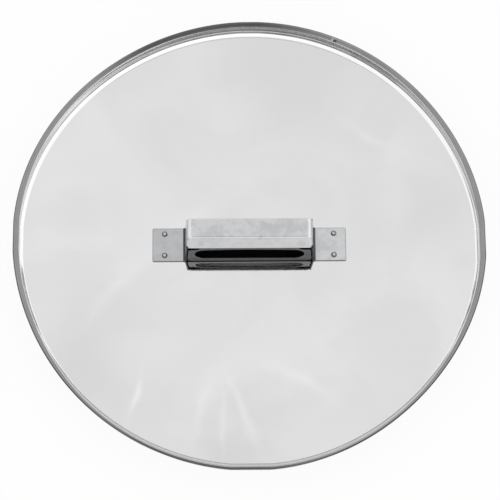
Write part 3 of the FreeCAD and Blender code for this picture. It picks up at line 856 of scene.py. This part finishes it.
def weld_layer():
    """Lays one ripple of weld after another along the wall's butt seam."""
    g, come, go = geometry_tree("weld_layer", Foot="Float", Top="Float", Lean="Float",
                                Ripples="Int", Seed="Int", Finish="Material")
    line = g.add("GeometryNodeMeshLine", {"mode": "END_POINTS"}, Count=come["Ripples"],
                 Start_Location=joined(g, z=come["Foot"]),
                 Offset=joined(g, come["Lean"], z=come["Top"]))
    size = g.add("FunctionNodeRandomValue", {"data_type": "FLOAT"}, i_2=0.85, i_3=1.1,
                 Seed=come["Seed"])
    copies = g.add("GeometryNodeInstanceOnPoints", Points=line, Instance=come["Geometry"],
                   Scale=size.outputs[1])
    put_out(g, go, copies, come["Finish"])
    return g.tree


def make_wall_weld():
    builder = bmesh.new()
    bmesh.ops.create_uvsphere(builder, u_segments=20, v_segments=12, radius=1.0)
    bmesh.ops.scale(builder, vec=(0.52, 0.95, 0.75), verts=builder.verts)
    weld = object_of("wall_weld", builder)
    foot, top = HOOP_FOOT + 0.8, 16.8
    grow(weld, weld_layer(), Foot=foot * MM, Top=top * MM,
         Lean=(wall_face(top) - wall_face(foot)) * MM, Ripples=19, Seed=5, Finish=WELD)
    middle = math.radians(SEAM_ANGLE) - SEAM_GAP / RIM_RADIUS / 2
    weld.data.transform(Matrix.Rotation(middle, 4, "Z") @ Matrix.Translation(
        ((wall_face(foot) + WALL_SHEET / 2) * MM, 0, 0)))
    weld.data.shade_smooth()
    return weld


# ---------------------------------------------------------------- handle
def leg_face(height, inset=0.0):
    return FOOT_LENGTH / 2 - LEG_SLOPE * (height - FLOOR_SHEET) - inset


def make_bridge_top():
    """The top with its splayed skirts and rounded ends, as one bent sheet."""
    builder = bmesh.new()
    low_x, low_y = leg_face(SKIRT_EDGE), SKIRT_WIDTH / 2
    high_x, high_y = TOP_LENGTH / 2, TOP_WIDTH / 2
    corners = ((-1, -1), (1, -1), (1, 1), (-1, 1))
    low = [builder.verts.new((x * low_x, y * low_y, SKIRT_EDGE)) for x, y in corners]
    high = [builder.verts.new((x * high_x, y * high_y, GRIP_TOP)) for x, y in corners]
    builder.faces.new(high)
    join_rings(builder, low, high)
    weights = builder.edges.layers.float.new("bevel_weight_edge")
    lean = math.atan(LEG_SLOPE)
    splay = math.atan((SKIRT_WIDTH - TOP_WIDTH) / 2 / (GRIP_TOP - SKIRT_EDGE))
    end_run = END_BEND * math.tan((math.pi / 2 - lean) / 2)
    long_run = LONG_BEND * math.tan((math.pi / 2 - splay) / 2)
    for edge in builder.edges:
        a, b = edge.verts[0].co, edge.verts[1].co
        if a.z > 50 and b.z > 50:
            edge[weights] = end_run if abs(a.x - b.x) < 1 else long_run
        elif abs(a.z - b.z) > 5:
            edge[weights] = CORNER_TURN
        edge[weights] /= WIDEST_BEND
    top = object_of("bridge_top", builder)
    bend = top.modifiers.new("bends", "BEVEL")
    bend.width = WIDEST_BEND * MM
    bend.segments = 10
    bend.limit_method = "WEIGHT"
    bend.use_clamp_overlap = False
    sheet = top.modifiers.new("sheet", "SOLIDIFY")
    sheet.thickness = GRIP_SHEET * MM
    sheet.offset = -1.0
    sheet.use_even_offset = True
    sheet.material_offset = 1
    coat(top, SATIN, INSIDE)
    return settle(top)


def half_width(height):
    bend = FLOOR_SHEET + GRIP_SHEET + FOOT_BEND
    if height <= bend:
        return FOOT_WIDTH / 2
    share = (height - bend) / (SKIRT_EDGE - bend)
    return FOOT_WIDTH / 2 + (SKIRT_WIDTH - FOOT_WIDTH) / 2 * share


def make_leg(name, side):
    """One leg, its foot bend and its riveted tab, from the strip's profile."""
    tab_top = FLOOR_SHEET + GRIP_SHEET
    upper = rounded([(leg_face(SKIRT_EDGE), SKIRT_EDGE, 0),
                     (leg_face(tab_top), tab_top, FOOT_BEND), (TAB_SPAN / 2, tab_top, 0)], 8)
    lower = rounded([(TAB_SPAN / 2, FLOOR_SHEET, 0),
                     (leg_face(FLOOR_SHEET, GRIP_SHEET), FLOOR_SHEET, FOOT_BEND + GRIP_SHEET),
                     (leg_face(SKIRT_EDGE, GRIP_SHEET), SKIRT_EDGE, 0)], 8)
    profile = upper + lower
    builder = bmesh.new()
    near, far = [], []
    for x, z in profile:
        near.append(builder.verts.new((side * x, -half_width(z), z)))
        far.append(builder.verts.new((side * x, half_width(z), z)))
    count = len(profile)
    join_rings(builder, near, far)
    half = len(upper)
    for row in (near, far):
        for k in range(half - 1):
            builder.faces.new((row[k], row[k + 1], row[count - 2 - k], row[count - 1 - k]))
    corners = [e for e in builder.edges
               if all(abs(abs(v.co.x) - TAB_SPAN / 2) < 0.01 for v in e.verts)
               and abs(e.verts[0].co.y - e.verts[1].co.y) < 0.01]
    bmesh.ops.bevel(builder, geom=corners, offset=TAB_CORNER, segments=5, affect="EDGES",
                    profile=0.5)
    leg = object_of(name, builder)
    coat(leg, SATIN, INSIDE)
    for face in leg.data.polygons:
        if face.normal.x * side < -0.5 and face.center.z > 0.004:
            face.material_index = 1
    return leg


def make_bridge():
    parts = [make_bridge_top(), make_leg("leg_left", -1), make_leg("leg_right", 1)]
    soften(parts[0], 0.22, 2, 60.0)
    for leg in parts[1:]:
        soften(leg, 0.22, 2, 40.0)
    with bpy.context.temp_override(active_object=parts[0], selected_editable_objects=parts):
        bpy.ops.object.join()
    parts[0].name = "bridge"
    parts[0].data.name = "bridge"
    return parts[0]


def make_side_plate(name, facing):
    """A leaning side plate with its long finger slot, cut as a flat outline and then set up."""
    clear = GRIP_SHEET + 1.1
    stretch = math.sqrt(1 + SIDE_LEAN ** 2)
    bend_at = (SKIRT_EDGE + 0.3 - FLOOR_SHEET) * stretch
    splay = (SKIRT_WIDTH - TOP_WIDTH) / 2 / (GRIP_TOP - SKIRT_EDGE)
    notch, shoulder, turned = leg_face(SKIRT_EDGE) - 16.0, 28.6, 0.16
    half = [(leg_face(FLOOR_SHEET, clear) - FOOT_BEND - GRIP_SHEET, 1.5, 0),
            (leg_face(5.5, clear), 4.5 * stretch, 0),
            (leg_face(shoulder, clear), (shoulder - FLOOR_SHEET) * stretch, 1.5),
            (notch + 3.0, shoulder * stretch, 4.0),
            (notch, bend_at - 0.5, 2.0), (notch - 1.0, bend_at + SIDE_LAP, 0)]
    outline = rounded([(0, half[0][1], 0)] + half + [(0, half[-1][1], 0)], 4)[1:-1]
    outline += [(-x, y) for x, y in reversed(outline)]
    reach = SLOT_LENGTH / 2 - SLOT_HEIGHT / 2
    low = (SLOT_BOTTOM - FLOOR_SHEET) * stretch
    high = low + SLOT_HEIGHT * stretch
    radius = (high - low) / 2
    arch = [reach - 2 * reach * k / 16 for k in range(1, 16)]
    slot = arc((reach, low + radius), radius, -math.pi / 2, math.pi, 16)
    slot += [(x, high + SLOT_ARCH * (1 - (x / reach) ** 2)) for x in arch]
    slot += arc((-reach, low + radius), radius, math.pi / 2, math.pi, 16)
    drawing = bpy.data.curves.new(name, "CURVE")
    drawing.dimensions = "2D"
    drawing.fill_mode = "BOTH"
    drawing.extrude = SIDE_SHEET / 2 - turned
    drawing.bevel_depth = turned
    drawing.bevel_resolution = 2
    drawing.offset = -turned
    for points in (outline, slot):
        line = drawing.splines.new("POLY")
        line.points.add(len(points) - 1)
        line.use_cyclic_u = True
        for point, (x, y) in zip(line.points, points):
            point.co = (x, y, 0, 1)
    blank = placed_object(name, drawing)
    flat = final_mesh(blank)
    bpy.data.objects.remove(blank)
    builder = bmesh.new()
    builder.from_mesh(flat)
    bpy.data.meshes.remove(flat)
    bmesh.ops.remove_doubles(builder, verts=builder.verts, dist=1e-4)
    bmesh.ops.bisect_plane(builder, geom=builder.verts[:] + builder.edges[:] + builder.faces[:],
                           plane_co=(0, bend_at, 0), plane_no=(0, 1, 0), dist=1e-5)
    lean, tilt = math.atan(SIDE_LEAN), math.atan(splay)
    for vert in builder.verts:
        x, run, depth = vert.co
        depth -= SIDE_SHEET / 2
        upto = min(run, bend_at)
        beyond = max(run - bend_at, 0.0)
        if abs(run - bend_at) < 1e-3:
            turn = (lean + tilt) / 2
            depth /= math.cos((tilt - lean) / 2)
        else:
            turn = tilt if beyond > 0 else lean
        out = SIDE_FOOT / 2 - upto * math.sin(lean) - beyond * math.sin(tilt)
        out += depth * math.cos(turn)
        up = FLOOR_SHEET + upto * math.cos(lean) + beyond * math.cos(tilt)
        up += depth * math.sin(turn)
        vert.co = (x, facing * out, up)
    plate = object_of(name, builder)
    coat(plate, SIDES, INSIDE)
    inward = Vector((0, -facing, 0))
    for face in plate.data.polygons:
        if face.normal.dot(inward) > 0.8:
            face.material_index = 1
    return soften(plate, 0.02, 1, 80.0)


# ---------------------------------------------------------------- rivets
def rivet_setter():
    """Sets a copy of one rivet at each point of a rectangle of places."""
    g, come, go = geometry_tree("rivet_setter", Span="Float", Pitch="Float",
                                Finish="Material")
    places = g.add("GeometryNodeMeshGrid", Size_X=come["Span"], Size_Y=come["Pitch"],
                   Vertices_X=2, Vertices_Y=2)
    copies = g.add("GeometryNodeInstanceOnPoints", Points=places, Instance=come["Geometry"])
    put_out(g, go, copies, come["Finish"])
    return g.tree


def make_rivets():
    seat = FLOOR_SHEET + GRIP_SHEET
    head = rounded([(2.9, seat, 0), (2.75, seat + 0.75, 0.35), (1.9, seat + 1.32, 0.8),
                    (1.25, seat + 1.5, 0.2), (1.05, seat + 1.25, 0.2), (0, seat + 1.15, 0)], 5)
    profile = [(0, 0), (2.8, 0), (2.0, 0.8), (2.0, seat)] + head
    rivets = lathe("rivets", profile, 48)
    grow(rivets, rivet_setter(), Span=RIVET_SPAN * MM, Pitch=RIVET_PITCH * MM, Finish=RIVET)
    return soften(rivets, 0.05, 1, 50.0)


# ---------------------------------------------------------------- studio
def make_floor():
    """A white sweep: it shows white to the camera and in the metal, with a faint shadow."""
    builder = bmesh.new()
    bmesh.ops.create_grid(builder, x_segments=8, y_segments=8, size=9000)
    ground = object_of("studio_floor", builder)
    ground.data.transform(Matrix.Translation((0, 0, -0.0004)))
    material, g, shader, place = new_material("pale_floor")
    grain = g.noise(place, 3.0, 3.0, 0.5)
    g.feed(shader.inputs["Base Color"], tone(g, grain, grey(0.955), grey(0.965)))
    shader.inputs["Roughness"].default_value = 0.9
    shader.inputs["Specular IOR Level"].default_value = 0.0
    ray = g.add("ShaderNodeLightPath").outputs
    seen = g.math("ADD", ray["Is Camera Ray"], g.math("ADD", ray["Is Glossy Ray"],
                                                      ray["Is Transmission Ray"]), clamp=True)
    white = g.add("ShaderNodeEmission", Strength=1.0, Color=(1.0, 1.0, 1.0, 1.0))
    lit = g.add("ShaderNodeMixShader", i_0=g.times(seen, 0.9), i_1=shader, i_2=white)
    clear = g.add("ShaderNodeMixShader", i_1=lit, i_2=g.add("ShaderNodeBsdfTransparent"),
                  i_0=g.add("ShaderNodeNewGeometry").outputs["Backfacing"])
    out = next(n for n in g.tree.nodes if n.bl_idname == "ShaderNodeOutputMaterial")
    g.feed(out.inputs["Surface"], clear)
    coat(ground, material)


def make_world():
    """A soft tent: brighter low down, with the dark room behind the camera's opening and
    one strip light hung across that opening."""
    world = bpy.data.worlds.new("soft_studio")
    bpy.context.scene.world = world
    world.use_nodes = True
    g = Graph(world.node_tree)
    sky = world.node_tree.nodes["Background"]
    way = world.node_tree.nodes.new("ShaderNodeTexCoord").outputs["Generated"]
    x, _, z = g.split(way)
    left_glow, right_glow, waist_more, high_glow = 0.95, 1.02, 0.05, 0.97
    dark_room, strip_more = 0.60, 0.40
    glow = g.ramp(x, -0.8, 0.8, left_glow, right_glow)
    low = g.ramp(z, 0.22, 0.45, 0.0, waist_more)
    high = g.ramp(z, 0.62, 0.88)
    waist = g.math("ADD", glow, low)
    level = g.mixed(g.less(high_glow, waist), high, waist)

    high = math.radians(70.0)
    toward = g.measure("DOT_PRODUCT", way, (0, -math.cos(high), math.sin(high)))
    opening = g.ramp(toward, math.cos(math.radians(31)), math.cos(math.radians(22)))
    above = g.measure("DOT_PRODUCT", way, (0, math.sin(high), math.cos(high)))
    strip = g.times(g.ramp(above, -0.12, -0.075), g.ramp(above, 0.055, 0.01))
    room = g.mixed(strip, strip_more, dark_room)
    shown = g.mixed(g.less(room, level), opening, level)
    g.feed(sky.inputs["Color"], shown)
    sky.inputs["Strength"].default_value = 1.0


def make_camera():
    """The photograph's view: 2.55 m away, 71.1 degrees up, a little to the left."""
    distance = 2.5508
    up, left, roll = math.radians(71.12), math.radians(1.814), math.radians(1.407)
    place = Vector((-math.sin(left) * math.cos(up), -math.cos(left) * math.cos(up),
                    math.sin(up))) * distance
    ahead = -place.normalized()
    right = ahead.cross(Vector((0, 0, 1))).normalized()
    above = right.cross(ahead)
    turned = right * math.cos(roll) + above * math.sin(roll)
    above = -right * math.sin(roll) + above * math.cos(roll)
    lens = bpy.data.cameras.new("camera")
    # the photograph's width and middle, the lens and where it points, all in its pixels
    picture, middle, focal, point_x, point_y = 500.0, 250.0, 2394.3, 249.25, 245.2
    lens.sensor_width = 36.0
    lens.lens = lens.sensor_width * focal / picture
    lens.shift_x = (middle - point_x) / picture
    lens.shift_y = -(middle - point_y) / picture
    lens.clip_end = 50.0
    camera = placed_object("camera", lens)
    camera.matrix_world = Matrix.Translation(place) @ Matrix(
        (turned, above, -ahead)).transposed().to_4x4()
    bpy.context.scene.camera = camera


floor, hoop, weld = make_dish_floor(), make_rolled_hoop(), make_wall_weld()
for sheet in (floor, hoop, weld):
    out_of_round(sheet)
finish_piece(floor, "polished_steel", "floor_disc")
finish_piece(hoop, "rim_steel", "wall_hoop")
finish_piece(weld, "rim_steel")
finish_piece(make_bridge(), "handle_steel", "grip_bridge")
finish_piece(make_side_plate("side_plate_front", -1), "handle_steel", "grip_side_front")
finish_piece(make_side_plate("side_plate_back", 1), "handle_steel", "grip_side_back")
finish_piece(make_rivets(), "rivet_steel", "rivet_front_left", "rivet_front_right",
             "rivet_back_left", "rivet_back_right")
make_floor()
make_world()
make_camera()
bpy.context.scene.view_settings.view_transform = "Standard"
